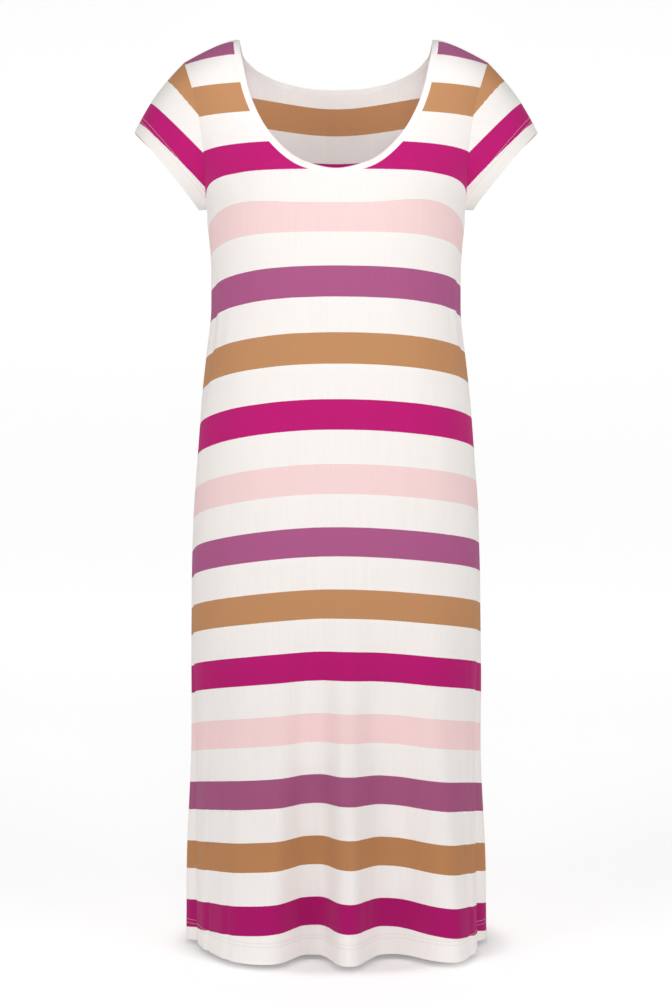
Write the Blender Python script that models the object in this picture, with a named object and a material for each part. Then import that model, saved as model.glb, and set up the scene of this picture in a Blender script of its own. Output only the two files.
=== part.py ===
"""A worn, filled-out shift dress in jersey: front, back, two short set-in sleeves and a neck binding.

The frame is +Z up, with the dress facing -Y and the wearer's left at +X. The origin lies midway between
the neck ends of the two shoulder seams, where the wearer's shoulders hold the dress. All sizes are metres.
"""

from collections import namedtuple

import bmesh
import bpy
import numpy as np

# ---------------------------------------------------------------- driving sizes
HEM_HEIGHT = -1.140          # the level bottom hem, below the shoulder seams' neck ends
UNDERARM_HEIGHT = -0.213     # where the side seam and the sleeve seam meet
CHEST_HEIGHT = -0.350        # below this the rows of the mesh lie level
CLOTH = 0.0018               # the wall of cloth
SEAM_GAP = 0.0003            # between two pieces at a seam
BINDING_WIDTH = 0.0080       # the neck binding, seam to finished edge
BINDING_SWELL = 0.0005       # how far the rolled binding stands out on each face
BINDING_FLAT = 0.0020        # from each edge of the binding to where it is fully swollen
BINDING_TUCK = 0.00045       # how far its finished edge rolls in on each face
SHOULDER_ROLL = 0.045        # height over which the front rounds over into the back at the shoulder
ROLL_LENGTH = 0.090          # cloth taken up by that rounding
SHOULDER_POINT = 0.1935      # half the width between the sleeve ends of the shoulder seams
NECK_POINT = 0.1310          # half the width between the neck ends of the shoulder seams
SHOULDER_DROP = 0.0276       # fall of the shoulder seam from neck to sleeve
SHOULDER_CURVE = 1.2         # 1 is a straight seam, more holds it up and drops it near the sleeve
SHOULDER_PAST = 1.2          # the shoulder's line is drawn on to this share of its length
ARMHOLE_TURN = -0.145        # height where the armhole starts to curve in under the arm
ARMHOLE_REACH = 0.95         # the largest share of the body's depth that the armhole's edge can lie at
CUFF_TOP = (0.2574, -0.1160)      # x and height of the sleeve opening's upper end
CUFF_BOTTOM = (0.1760, -0.2140)   # x and height of its lower end
CUFF_DEPTH = 0.090           # the sleeve opening, front to back
CUFF_LEAN = 0.0075           # how far the back of that opening leans in towards the shoulder
SLEEVE_CROWN = 0.0050        # how far the sleeve's top line bows out
SLEEVE_SWELL = 0.0030        # the same at the front and back of the sleeve

# ---------------------------------------------------------------- how fine each piece is
COLUMNS_SHOULDER = 4         # mesh columns in each shoulder seam
COLUMNS_NECK = 16            # mesh columns in each half of the neck edge
OPENING_TOP = -0.100         # the mesh columns fan out from this height
OPENING_BOTTOM = -0.260      # to this one
EDGE_HOLD = 6                # how closely only the outer columns follow the armhole
YOKE_SAG = 0.035             # how far the yoke's last row dips at the middle, to pass under the neck
ROW_EASE = 1.5               # how much the yoke's rows close up towards the underarm
BACK_FAN = 0.8               # how evenly the back's mesh columns fan out below its flat neck
FRONT_STEEPNESS = 0.4        # how much the front neck's run down counts in sharing out its columns
BACK_STEEPNESS = 0.2         # the same for the back neck
ROWS_YOKE = 10               # rows from the shoulder to the underarm
ROWS_CHEST = 4               # rows from the underarm to the first level row
ROWS_BODY = 16               # level rows from there to the hem
SLEEVE_RINGS = 4             # rows along each sleeve
SHARE_ROUNDS = 12            # rounds that settle a mesh column's share at a height
NECK_SAMPLES = 200           # samples along the neck seam when its columns are shared out
SLOPE_STEP = 2e-5            # distance over which a slope of the cloth is measured
LEAST_ROLL = 1e-6            # the roll counted on the shoulder's top line, where it is really 0
SMOOTH_BELOW = 50            # edges that turn by less than this many degrees are shaded smooth
OFF_WHITE = (0.90, 0.87, 0.84)
JERSEY_ROUGHNESS = 0.9

Section = namedtuple("Section", "height half_width front back roundness")
BODY = (
    Section(0.000, 0.222, 0.064, 0.062, 2.6),
    Section(-0.035, 0.215, 0.074, 0.068, 2.6),
    Section(-0.070, 0.206, 0.084, 0.080, 2.6),
    Section(-0.105, 0.196, 0.094, 0.092, 2.6),
    Section(-0.150, 0.184, 0.107, 0.103, 2.6),
    Section(-0.213, 0.1640, 0.128, 0.108, 2.6),
    Section(-0.238, 0.1630, 0.133, 0.107, 2.6),
    Section(-0.262, 0.1604, 0.134, 0.104, 2.6),
    Section(-0.290, 0.1590, 0.132, 0.100, 2.5),
    Section(-0.345, 0.1592, 0.124, 0.092, 2.4),
    Section(-0.400, 0.1645, 0.119, 0.095, 2.4),
    Section(-0.470, 0.1715, 0.119, 0.107, 2.4),
    Section(-0.540, 0.1770, 0.121, 0.118, 2.4),
    Section(-0.610, 0.1815, 0.124, 0.125, 2.4),
    Section(-0.700, 0.1835, 0.126, 0.128, 2.5),
    Section(-0.880, 0.1845, 0.130, 0.127, 2.6),
    Section(-0.960, 0.1870, 0.135, 0.129, 2.6),
    Section(-1.050, 0.1905, 0.141, 0.133, 2.6),
    Section(-1.140, 0.1925, 0.146, 0.137, 2.6),
)

Armhole = namedtuple("Armhole", "height half_width depth")
ARMHOLE = (
    Armhole(-0.0276, 0.1935, 0.045),
    Armhole(-0.0670, 0.1820, 0.052),
    Armhole(-0.1050, 0.1713, 0.059),
    Armhole(-0.1480, 0.1650, 0.062),
    Armhole(-0.1800, 0.1635, 0.062),
    Armhole(-0.2130, 0.1640, 0.062),
)

# The neck seam, half of it, by its distance down the cloth from the shoulder seam.
NeckPoint = namedtuple("NeckPoint", "out down")
NECK_FRONT = (
    NeckPoint(0.1310, 0.000),
    NeckPoint(0.1270, 0.062),
    NeckPoint(0.1177, 0.1167),
    NeckPoint(0.1061, 0.1520),
    NeckPoint(0.0827, 0.1927),
    NeckPoint(0.0412, 0.2280),
    NeckPoint(0.0000, 0.2380),
)
NECK_BACK = (
    NeckPoint(0.1310, 0.000),
    NeckPoint(0.1295, 0.030),
    NeckPoint(0.1150, 0.0585),
    NeckPoint(0.0860, 0.0785),
    NeckPoint(0.0580, 0.0885),
    NeckPoint(0.0295, 0.0937),
    NeckPoint(0.0000, 0.0948),
)

# The skirt's flutes: each is a trough at an angle round the body (0 front, 90 the wearer's left), or a ridge
# where its depth is below 0. It has a spread towards lower and higher angles in degrees, a depth at the hem,
# the height where it starts and a power that makes its sides steeper.
Flute = namedtuple("Flute", "angle spread_before spread_after depth start steep")
FLUTES = (
    Flute(-166, 9, 11, 0.040, -0.70, 2.0),
    Flute(-134, 10, 8, 0.043, -0.66, 2.2),
    Flute(-103, 8, 8, 0.030, -0.76, 2.0),
    Flute(-75, 5, 6, 0.008, -0.74, 2.0),
    Flute(-62, 15, 12, 0.016, -0.72, 2.4),
    Flute(-11, 13, 10, 0.052, -0.66, 3.0),
    Flute(27, 13, 15, 0.051, -0.66, 3.0),
    Flute(49, 8, 8, -0.012, -0.70, 2.0),
    Flute(74, 6, 7, 0.016, -0.76, 2.0),
    Flute(105, 8, 7, 0.028, -0.78, 2.0),
    Flute(133, 8, 10, 0.042, -0.68, 2.2),
    Flute(168, 10, 8, 0.038, -0.74, 2.0),
)
FLUTE_GROWTH = 1.15          # 1 makes a flute deepen evenly from its start to the hem


def smooth_curve(places, values, at):
    """A smooth curve through the given values, with no overshoot, read at the given places."""
    places = np.asarray(places, float)
    values = np.asarray(values, float)
    if places[0] > places[-1]:
        places = places[::-1]
        values = values[::-1]
    at = np.clip(at, places[0], places[-1])
    steps = np.diff(places)
    rises = np.diff(values) / steps
    slopes = np.zeros(len(places))
    same_way = rises[:-1] * rises[1:] > 0
    both = np.where(same_way, rises[:-1] + rises[1:], 1.0)
    slopes[1:-1] = np.where(same_way, 2 * rises[:-1] * rises[1:] / both, 0.0)
    slopes[0] = rises[0]
    slopes[-1] = rises[-1]
    i = np.clip(np.searchsorted(places, at, side="right") - 1, 0, len(steps) - 1)
    h = steps[i]
    t = (at - places[i]) / h
    return (
        values[i] * (1 + 2 * t) * (1 - t) ** 2
        + slopes[i] * h * t * (1 - t) ** 2
        + values[i + 1] * t * t * (3 - 2 * t)
        + slopes[i + 1] * h * t * t * (t - 1)
    )


def column_of(table, column, at):
    """One column of a table of sections, read at any height."""
    return smooth_curve([r.height for r in table], [getattr(r, column) for r in table], at)


def shoulder_line(x):
    """Height of the shoulder's top line at a distance x from the middle."""
    out = np.clip((np.abs(x) - NECK_POINT) / (SHOULDER_POINT - NECK_POINT), 0, SHOULDER_PAST)
    return -SHOULDER_DROP * out**SHOULDER_CURVE


def armhole_edge(z):
    """Half width and depth of the armhole's edge at a height; the depth closes at the underarm."""
    half_width = column_of(ARMHOLE, "half_width", z)
    depth = column_of(ARMHOLE, "depth", z)
    below = np.clip((ARMHOLE_TURN - z) / (ARMHOLE_TURN - UNDERARM_HEIGHT), 0, 1)
    return half_width, depth * np.sqrt(1 - below**2)


def ring_sizes(z, back):
    """Half width, depth and roundness of the body's ring at a height, for its front or its back half."""
    half_width = column_of(BODY, "half_width", z)
    depth = np.where(back, column_of(BODY, "back", z), column_of(BODY, "front", z))
    roundness = column_of(BODY, "roundness", z)
    edge_x, edge_y = armhole_edge(z)
    through = edge_x / (1 - np.minimum(edge_y / depth, ARMHOLE_REACH) ** roundness) ** (1 / roundness)
    return np.where(z > UNDERARM_HEIGHT, through, half_width), depth, roundness


def side_angle(z):
    """Angle from the front to a panel's edge: the armhole above the underarm, the side seam below it."""
    edge_x, edge_y = armhole_edge(z)
    return np.where(z > UNDERARM_HEIGHT, np.arctan2(edge_x, edge_y), np.pi / 2)


def spread_to_angle(share, z):
    """Angle of a mesh column at a height, from its share of the way from the middle to the panel's edge.

    The columns inside the panel open out evenly below the armhole, and those at its edge keep to the edge.
    """
    edge = side_angle(z)
    start = side_angle(np.array(OPENING_TOP))
    opened = np.clip((OPENING_TOP - z) / (OPENING_TOP - OPENING_BOTTOM), 0, 1)
    even = start + (np.pi / 2 - start) * opened * opened * (3 - 2 * opened)
    even = np.where(z > OPENING_TOP, edge, even)
    return share * (even + (edge - even) * np.abs(share) ** EDGE_HOLD)


def share_at(angle, z):
    """The inverse of spread_to_angle."""
    share = angle / side_angle(z)
    for _ in range(SHARE_ROUNDS):
        share = share * angle / np.where(angle == 0, 1, spread_to_angle(share, z))
    return np.where(angle == 0, 0, share)


def flute_depth(angle, z):
    """How far the skirt's flutes pull the cloth in at an angle round the body and a height."""
    total = np.zeros(np.broadcast(angle, z).shape)
    for flute in FLUTES:
        turn = (angle - np.radians(flute.angle) + np.pi) % (2 * np.pi) - np.pi
        spread = np.radians(np.where(turn < 0, flute.spread_before, flute.spread_after))
        grown = np.clip((flute.start - z) / (flute.start - HEM_HEIGHT), 0, 1) ** FLUTE_GROWTH
        total = total + flute.depth * grown * np.exp(-(np.abs(turn / spread) ** flute.steep))
    return total


def roll_of(x, z):
    """How much of the body's depth the cloth has reached at a place, 0 on the shoulder's top line."""
    lean = np.clip(1 - (shoulder_line(x) - z) / SHOULDER_ROLL, 0, 1)
    return np.sqrt(1 - lean**2)


def body_point(angle, z):
    """A point of the dress's outer face; the signed angle is 0 at the centre front, 180 at the back."""
    back = np.abs(angle) > np.pi / 2
    half_width, depth, roundness = ring_sizes(z, back)
    across = np.abs(np.sin(angle)) / half_width
    along = np.abs(np.cos(angle)) / depth
    radius = (across**roundness + along**roundness) ** (-1 / roundness)
    x = radius * np.sin(angle)
    y = -radius * np.cos(angle)
    out_x = np.sign(x) * np.abs(x) ** (roundness - 1) / half_width**roundness
    out_y = np.sign(y) * np.abs(y) ** (roundness - 1) / depth**roundness
    length = np.hypot(out_x, out_y)
    pull = flute_depth(angle, z)
    roll = roll_of(x, z)
    x = x - pull * out_x / length
    y = y - pull * out_y / length
    return np.stack([x, y * roll, z + 0 * x], axis=-1)


def yoke_level(point, back):
    """A field that is 0 on the yoke's outer face and grows outward."""
    x, y, z = np.moveaxis(point, -1, 0)
    half_width, depth, roundness = ring_sizes(z, back)
    roll = np.maximum(roll_of(x, z), LEAST_ROLL)
    return (np.abs(x) / half_width) ** roundness + (np.abs(y) / (depth * roll)) ** roundness


def yoke_normal(point, back):
    """Unit normals of the yoke's outer face, from the slope of its field."""
    slopes = []
    for axis in np.eye(3) * SLOPE_STEP:
        slopes.append(yoke_level(point + axis, back) - yoke_level(point - axis, back))
    normal = np.stack(slopes, axis=-1)
    return normal / np.linalg.norm(normal, axis=-1, keepdims=True)


def ridge_normal(x):
    """Unit normals of the cloth on the shoulder's top line."""
    fall = (shoulder_line(x + SLOPE_STEP) - shoulder_line(x - SLOPE_STEP)) / (2 * SLOPE_STEP)
    normal = np.stack([-fall, 0 * fall, 1 + 0 * fall], axis=-1)
    return normal / np.linalg.norm(normal, axis=-1, keepdims=True)


def drop_at(down):
    """How far the cloth has dropped below the shoulder's top line at a distance down the cloth."""
    turn = np.clip(down / ROLL_LENGTH, 0, 1) * np.pi / 2
    return SHOULDER_ROLL * (1 - np.cos(turn)) + np.maximum(down - ROLL_LENGTH, 0)


def angle_at(x, z, back):
    """The angle, from the panel's own centre line, at which the body's ring has the given x."""
    half_width, depth, roundness = ring_sizes(z, back)
    y = depth * (1 - np.minimum(x / half_width, 1) ** roundness) ** (1 / roundness)
    return np.arctan2(x, y)


def yoke_point(x, signed):
    """A point of the yoke from x and its distance down the cloth, negative in front, positive behind."""
    z = shoulder_line(x) - drop_at(np.abs(signed))
    half_width, depth, roundness = ring_sizes(z, signed > 0)
    y = depth * (1 - (np.abs(x) / half_width) ** roundness) ** (1 / roundness) * roll_of(x, z)
    return np.stack([x, np.sign(signed) * y, z + 0 * x], axis=-1)


def top_edge(neck, steepness):
    """x and distance down of a panel's top edge, from one armhole to the other.

    The neck seam is read on to its first point past the centre, so it crosses the centre line level.
    """
    half_out = np.linspace(SHOULDER_POINT, NECK_POINT, COLUMNS_SHOULDER + 1)[:-1]
    out = [point.out for point in neck] + [-neck[-2].out]
    down = [point.down for point in neck] + [neck[-2].down]
    along = np.concatenate([[0], np.cumsum(np.hypot(np.diff(out), np.diff(down)))])
    fine = np.linspace(0, along[-2], NECK_SAMPLES)
    fine_out = smooth_curve(along, out, fine)
    fine_down = smooth_curve(along, down, fine)
    weight = np.hypot(np.diff(fine_out), steepness * np.diff(fine_down))
    weighed = np.concatenate([[0], np.cumsum(weight)])
    read = np.linspace(0, weighed[-1], COLUMNS_NECK + 1)
    neck_out = np.interp(read, weighed, fine_out)
    neck_down = np.interp(read, weighed, fine_down)
    x = np.concatenate([half_out, neck_out])
    q = np.concatenate([0 * half_out, neck_down])
    return np.concatenate([-x, x[-2::-1]]), np.concatenate([q, q[-2::-1]])


def neck_of(back):
    """The neck seam of a panel and how steepness counts in sharing out its columns."""
    return (NECK_BACK, BACK_STEEPNESS) if back else (NECK_FRONT, FRONT_STEEPNESS)


def panel_places(back):
    """The angle and height of a panel's mesh points, row by row from the top edge to the hem."""
    x_top, down_top = top_edge(*neck_of(back))
    ridge = shoulder_line(x_top)
    z_top = ridge - drop_at(down_top)
    share_top = share_at(angle_at(np.abs(x_top), z_top, back), z_top)
    middle = COLUMNS_SHOULDER + COLUMNS_NECK
    from_edge = np.minimum(np.arange(2 * middle + 1), 2 * middle - np.arange(2 * middle + 1))
    side = np.sign(np.arange(2 * middle + 1) - middle)
    neck_down = down_top[COLUMNS_SHOULDER:middle + 1]
    even_down = np.linspace(0, neck_down[-1], COLUMNS_NECK + 1)
    neck_down = neck_down + (even_down - neck_down) * (BACK_FAN if back else 0)
    neck_share = share_top[COLUMNS_SHOULDER:middle + 1]
    across = 1 - from_edge / middle
    yoke_end = UNDERARM_HEIGHT - YOKE_SAG * (1 - across**2)
    down_end = ROLL_LENGTH + ridge - SHOULDER_ROLL - yoke_end
    shares = []
    heights = []
    for i in range(ROWS_YOKE + 1):
        step = i / ROWS_YOKE
        down = down_top + (down_end - down_top) * (1 - (1 - step) ** ROW_EASE)
        started = np.interp(down, neck_down, np.arange(COLUMNS_NECK + 1))
        inner = np.interp(down, neck_down, neck_share)
        share = 1 - (1 - inner) * from_edge / (COLUMNS_SHOULDER + started)
        if i == 0:
            astray = share_top - share
        shares.append(share + astray * (1 - step) ** 2)
        heights.append(ridge - drop_at(down))
    for i in range(1, ROWS_CHEST + 1):
        shares.append(across)
        heights.append(yoke_end + (CHEST_HEIGHT - yoke_end) * i / ROWS_CHEST)
    for i in range(1, ROWS_BODY + 1):
        shares.append(across)
        heights.append(CHEST_HEIGHT + (HEM_HEIGHT - CHEST_HEIGHT) * i / ROWS_BODY + 0 * across)
    z = np.array(heights)
    angle = spread_to_angle(np.array(shares), z)
    angle = (np.pi - angle if back else angle) * np.where(side == 0, 1, side)
    settle = np.clip(1 - np.arange(len(z)) / ROWS_YOKE, 0, 1)[:, None] ** 2
    own_ridge = shoulder_line(body_point(angle, z)[..., 0])
    return angle, z + (own_ridge - ridge) * settle


def facing_out(points):
    """Unit normals of a grid of points, rows down and columns towards +X at the front."""
    along = np.gradient(points, axis=1)
    down = np.gradient(points, axis=0)
    normals = np.cross(down, along)
    return normals / np.linalg.norm(normals, axis=-1, keepdims=True)


def panel_walls(back):
    """A panel's outer and inner face, drawn back from its seams by half the gap, and its normals."""
    angle, z = panel_places(back)
    outer = body_point(angle, z)
    normals = facing_out(outer) * (-1 if back else 1)
    normals[:ROWS_YOKE] = yoke_normal(outer[:ROWS_YOKE], back)
    count = outer.shape[1]
    seam = np.r_[0:COLUMNS_SHOULDER + 1, count - COLUMNS_SHOULDER - 1:count]
    normals[0, seam] = ridge_normal(outer[0, seam, 0])
    for column in (0, -1):
        normals[ROWS_YOKE:, column] = body_normal(angle[ROWS_YOKE:, column], z[ROWS_YOKE:, column])
    outer[0, seam, 1] += SEAM_GAP / 2 if back else -SEAM_GAP / 2
    outer[ROWS_YOKE:, 0] += seam_step(outer, ROWS_YOKE, 0) * SEAM_GAP / 2
    outer[ROWS_YOKE:, -1] += seam_step(outer, ROWS_YOKE, -1) * SEAM_GAP / 2
    return outer, outer - normals * CLOTH, normals


def away(edge, normals):
    """Unit steps square to an edge and lying in the cloth, to its left as seen from outside."""
    steps = np.cross(normals, np.gradient(edge, axis=0))
    return steps / np.linalg.norm(steps, axis=-1, keepdims=True)


def joined(front_edge, back_edge):
    """One closed loop from an edge of the front and the matching edge of the back."""
    first = (front_edge[:1] + back_edge[:1]) / 2
    last = (front_edge[-1:] + back_edge[-1:]) / 2
    return np.concatenate([first, front_edge[1:-1], last, back_edge[-2:0:-1]])


def seam_step(outer, first_row, column):
    """Unit steps from a panel's side seam into the panel."""
    inside = 1 if column == 0 else -2
    step = outer[first_row:, inside] - outer[first_row:, column]
    return step / np.linalg.norm(step, axis=-1, keepdims=True)


def body_normal(angle, z):
    """Unit normals of the body below the underarm, the same from the front and from the back."""
    turn = 0.02
    rise = 0.002
    angle = np.sign(angle) * np.pi / 2
    side = body_point(angle + turn, z) - body_point(angle - turn, z)
    up = body_point(angle, z + rise) - body_point(angle, z - rise)
    up = np.where((z > UNDERARM_HEIGHT - rise)[..., None], np.array([0.0, 0.0, 1.0]), up)
    normals = np.cross(side, up)
    return normals / np.linalg.norm(normals, axis=-1, keepdims=True)


def edge_faces(bm, first, second):
    """Closes the cloth's edge between two pairs of an outer and an inner vertex.

    The outer vertex that lies higher is joined to the other pair's inner one, so both sides of a seam
    are split into the same flat faces.
    """
    if first[0].co.z > second[0].co.z:
        bm.faces.new((first[0], first[1], second[1]))
        bm.faces.new((first[0], second[1], second[0]))
    else:
        bm.faces.new((first[0], first[1], second[0]))
        bm.faces.new((first[1], second[1], second[0]))


def wall_body(name, outer, inner, closed, colour):
    """One body of cloth between an outer and an inner grid; closed joins its last column to its first."""
    bm = bmesh.new()
    rows, columns = outer.shape[:2]
    pairs = []
    for i in range(rows):
        pairs.append([(bm.verts.new(outer[i, j]), bm.verts.new(inner[i, j])) for j in range(columns)])
    spans = [(j, (j + 1) % columns) for j in range(columns if closed else columns - 1)]
    for i in range(rows - 1):
        for j, k in spans:
            bm.faces.new((pairs[i][j][0], pairs[i + 1][j][0], pairs[i + 1][k][0], pairs[i][k][0]))
            bm.faces.new((pairs[i][k][1], pairs[i + 1][k][1], pairs[i + 1][j][1], pairs[i][j][1]))
    for j, k in spans:
        edge_faces(bm, pairs[0][j], pairs[0][k])
        edge_faces(bm, pairs[-1][j], pairs[-1][k])
    if not closed:
        for i in range(rows - 1):
            edge_faces(bm, pairs[i][0], pairs[i + 1][0])
            edge_faces(bm, pairs[i][-1], pairs[i + 1][-1])
    bmesh.ops.recalc_face_normals(bm, faces=bm.faces)
    mesh = bpy.data.meshes.new(name)
    bm.to_mesh(mesh)
    bm.free()
    mesh.shade_smooth()
    mesh.set_sharp_from_angle(angle=np.radians(SMOOTH_BELOW))
    body = bpy.data.objects.new(name, mesh)
    bpy.context.scene.collection.objects.link(body)
    mesh.materials.append(jersey(name + "_jersey", colour))
    return body


def jersey(name, colour):
    """Matt cotton jersey."""
    material = bpy.data.materials.new(name)
    material.use_nodes = True
    shader = material.node_tree.nodes["Principled BSDF"]
    shader.inputs["Base Color"].default_value = (*colour, 1.0)
    shader.inputs["Roughness"].default_value = JERSEY_ROUGHNESS
    shader.inputs["Metallic"].default_value = 0.0
    return material


def sleeve_walls(front, back, side):
    """Outer and inner face of a sleeve, from the panels' own armhole edges to its cuff."""
    column = -1 if side > 0 else 0
    edges = []
    for (outer, inner, normals), way in ((front, side), (back, -side)):
        edge = outer[:ROWS_YOKE + 1, column]
        lining = inner[:ROWS_YOKE + 1, column]
        step = away(edge, normals[:ROWS_YOKE + 1, column]) * way * SEAM_GAP
        edges.append((edge + step, lining + step))
    start = joined(edges[0][0], edges[1][0])
    start_inner = joined(edges[0][1], edges[1][1])
    lengths = np.linalg.norm(np.diff(np.concatenate([start, start[:1]]), axis=0), axis=-1)
    run = np.concatenate([[0], np.cumsum(lengths)[:-1]])
    half = run[ROWS_YOKE]
    whole = lengths.sum()
    turn = np.where(run <= half, np.pi * run / half, np.pi + np.pi * (run - half) / (whole - half))
    top = np.array([side * CUFF_TOP[0], 0.0, CUFF_TOP[1]])
    bottom = np.array([side * CUFF_BOTTOM[0], 0.0, CUFF_BOTTOM[1]])
    centre = (top + bottom) / 2
    upward = (top - bottom) / 2
    forward = np.array([0.0, -CUFF_DEPTH / 2, 0.0])
    cuff = centre + np.cos(turn)[:, None] * upward + np.sin(turn)[:, None] * forward
    outward = np.array([side * upward[2], 0.0, -side * upward[0]]) / np.linalg.norm(upward)
    cuff = cuff - np.minimum(np.sin(turn), 0)[:, None] ** 2 * CUFF_LEAN * outward
    top_line = top - start[0]
    crown = np.array([-side * top_line[2], 0.0, side * top_line[0]]) / np.linalg.norm(top_line)
    outer = []
    for i in range(SLEEVE_RINGS + 1):
        step = i / SLEEVE_RINGS
        bow = np.sin(np.pi * step)
        ring = start + (cuff - start) * step
        ring = ring + bow * SLEEVE_CROWN * np.maximum(np.cos(turn), 0)[:, None] * crown
        ring = ring + bow * SLEEVE_SWELL * np.sin(turn)[:, None] * np.array([0.0, -1.0, 0.0])
        outer.append(ring)
    outer = np.array(outer)
    around = np.roll(outer, -1, axis=1) - np.roll(outer, 1, axis=1)
    along = np.gradient(outer, axis=0)
    normals = np.cross(around, along) * side
    normals = normals / np.linalg.norm(normals, axis=-1, keepdims=True)
    inner = outer - normals * CLOTH
    inner[0] = start_inner
    return outer, inner


def binding_walls(front, back):
    """Outer and inner face of the neck binding, from the panels' neck edges to its finished edge."""
    first = COLUMNS_SHOULDER
    last = COLUMNS_SHOULDER + 2 * COLUMNS_NECK
    edges = []
    for (outer, inner, normals), way in ((front, 1), (back, -1)):
        x, down = top_edge(*neck_of(way < 0))
        x = x[first:last + 1]
        down = down[first:last + 1]
        edge = outer[0, first:last + 1]
        lining = inner[0, first:last + 1]
        step = away(edge, normals[0, first:last + 1]) * way * SEAM_GAP
        edges.append((edge + step, lining + step, x, -way * down))
    x = np.concatenate([edges[0][2], edges[1][2][-2:0:-1]])
    signed = np.concatenate([edges[0][3], edges[1][3][-2:0:-1]])
    flat = np.stack([x, signed], axis=-1)
    along = np.roll(flat, -1, axis=0) - np.roll(flat, 1, axis=0)
    inward = np.stack([-along[:, 1], along[:, 0]], axis=-1)
    inward = inward / np.linalg.norm(inward, axis=-1, keepdims=True)
    rings = [(0.0, 0.0), (BINDING_FLAT, BINDING_SWELL), (BINDING_WIDTH - BINDING_FLAT, BINDING_SWELL)]
    rings.append((BINDING_WIDTH, -BINDING_TUCK))
    outer = []
    inner = []
    for distance, swell in rings:
        place = flat + inward * distance
        point = yoke_point(place[:, 0], place[:, 1])
        normal = yoke_normal(point, place[:, 1] > 0)
        on_ridge = np.abs(place[:, 1]) < BINDING_SWELL
        normal[on_ridge] = ridge_normal(place[on_ridge, 0])
        outer.append(point + normal * swell)
        inner.append(point - normal * (CLOTH + swell))
    outer[0] = joined(edges[0][0], edges[1][0])
    inner[0] = joined(edges[0][1], edges[1][1])
    return np.array(outer), np.array(inner)


for old in list(bpy.data.objects):
    bpy.data.objects.remove(old, do_unlink=True)

front_grid = panel_walls(False)
back_grid = panel_walls(True)
wall_body("front_panel", *front_grid[:2], False, OFF_WHITE)
wall_body("back_panel", *back_grid[:2], False, OFF_WHITE)
wall_body("sleeve_left", *sleeve_walls(front_grid, back_grid, 1), True, OFF_WHITE)
wall_body("sleeve_right", *sleeve_walls(front_grid, back_grid, -1), True, OFF_WHITE)
wall_body("neck_binding", *binding_walls(front_grid, back_grid), True, OFF_WHITE)
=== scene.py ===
"""The looks of a worn, filled-out shift dress in striped jersey, put together as it is sewn.

The frame is the part's own: +Z up, the dress faces -Y, +X is the wearer's left, metres throughout.
"""

from collections import namedtuple

import bmesh
import bpy
import numpy as np
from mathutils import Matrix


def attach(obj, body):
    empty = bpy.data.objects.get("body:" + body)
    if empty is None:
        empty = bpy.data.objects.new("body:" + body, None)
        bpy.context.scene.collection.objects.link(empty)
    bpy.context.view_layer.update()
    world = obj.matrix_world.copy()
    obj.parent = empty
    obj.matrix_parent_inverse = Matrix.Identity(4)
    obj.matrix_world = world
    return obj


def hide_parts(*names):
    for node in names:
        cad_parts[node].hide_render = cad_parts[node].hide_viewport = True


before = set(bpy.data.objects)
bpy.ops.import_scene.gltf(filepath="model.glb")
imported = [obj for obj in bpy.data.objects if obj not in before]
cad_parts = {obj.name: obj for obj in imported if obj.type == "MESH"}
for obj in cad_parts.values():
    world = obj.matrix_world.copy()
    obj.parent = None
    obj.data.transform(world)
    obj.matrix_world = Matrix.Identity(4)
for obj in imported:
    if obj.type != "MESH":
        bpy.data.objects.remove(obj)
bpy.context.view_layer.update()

# ================================================================ the front
# One piece of striped jersey, from the shoulder seams and scooped neck to a turned, twin-needled hem.
# It is filled out to a general figure above and falls in soft flutes below, open at the hem.
HEM_HEIGHT = -1.140
UNDERARM_HEIGHT = -0.213     # where the side seam and the sleeve seam meet
CHEST_HEIGHT = -0.350        # below this the rows of the mesh lie level
THICKNESS = 0.0010           # the jersey itself
SEAM_GAP = 0.0001            # between two pieces at a seam
SHOULDER_ROLL = 0.045        # height over which the front rounds over into the back at the shoulder
ROLL_LENGTH = 0.090          # cloth taken up by that rounding
SHOULDER_POINT = 0.1935      # half the width between the sleeve ends of the shoulder seams
NECK_POINT = 0.1310          # half the width between their neck ends
SHOULDER_DROP = 0.0276       # fall of the shoulder seam from neck to sleeve
SHOULDER_CURVE = 1.2         # 1 is a straight seam, more holds it up and drops it near the sleeve
SHOULDER_PAST = 1.2          # the shoulder's line is drawn on to this share of its length
ARMHOLE_TURN = -0.145        # height where the armhole starts to curve in under the arm
ARMHOLE_REACH = 0.95         # the largest share of the body's depth that the armhole's edge can lie at
COLUMNS_SHOULDER = 14        # mesh columns in each shoulder seam
COLUMNS_NECK = 58            # mesh columns in each half of the neck edge
FRONT_STEEPNESS = 0.4        # how much the front neck's run down counts in sharing out its columns
ROWS_YOKE = 44               # rows from the shoulder to the underarm
ROWS_CHEST = 18              # rows from there to the first level row
ROWS_BODY = 130              # level rows from there to the hem
OPENING_TOP = -0.100         # the mesh columns fan out from this height
OPENING_BOTTOM = -0.260      # to this one
EDGE_HOLD = 6                # how closely only the outer columns follow the armhole
YOKE_SAG = 0.035             # how far the yoke's last row dips at the middle, to pass under the neck
ROW_EASE = 1.5               # how much the yoke's rows close up towards the underarm
BACK_FAN = 0.8               # how evenly the back's mesh columns fan out below its flat neck
SHARE_ROUNDS = 12            # rounds that settle a mesh column's share at a height
NECK_SAMPLES = 600           # samples along the neck seam when its columns are shared out
SLOPE_STEP = 2e-5            # distance over which a slope of the cloth is measured
LEAST_ROLL = 1e-6            # the roll counted on the shoulder's top line, where it is really 0
SMOOTH_BELOW = 60            # edges that turn by less than this many degrees are shaded smooth

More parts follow.
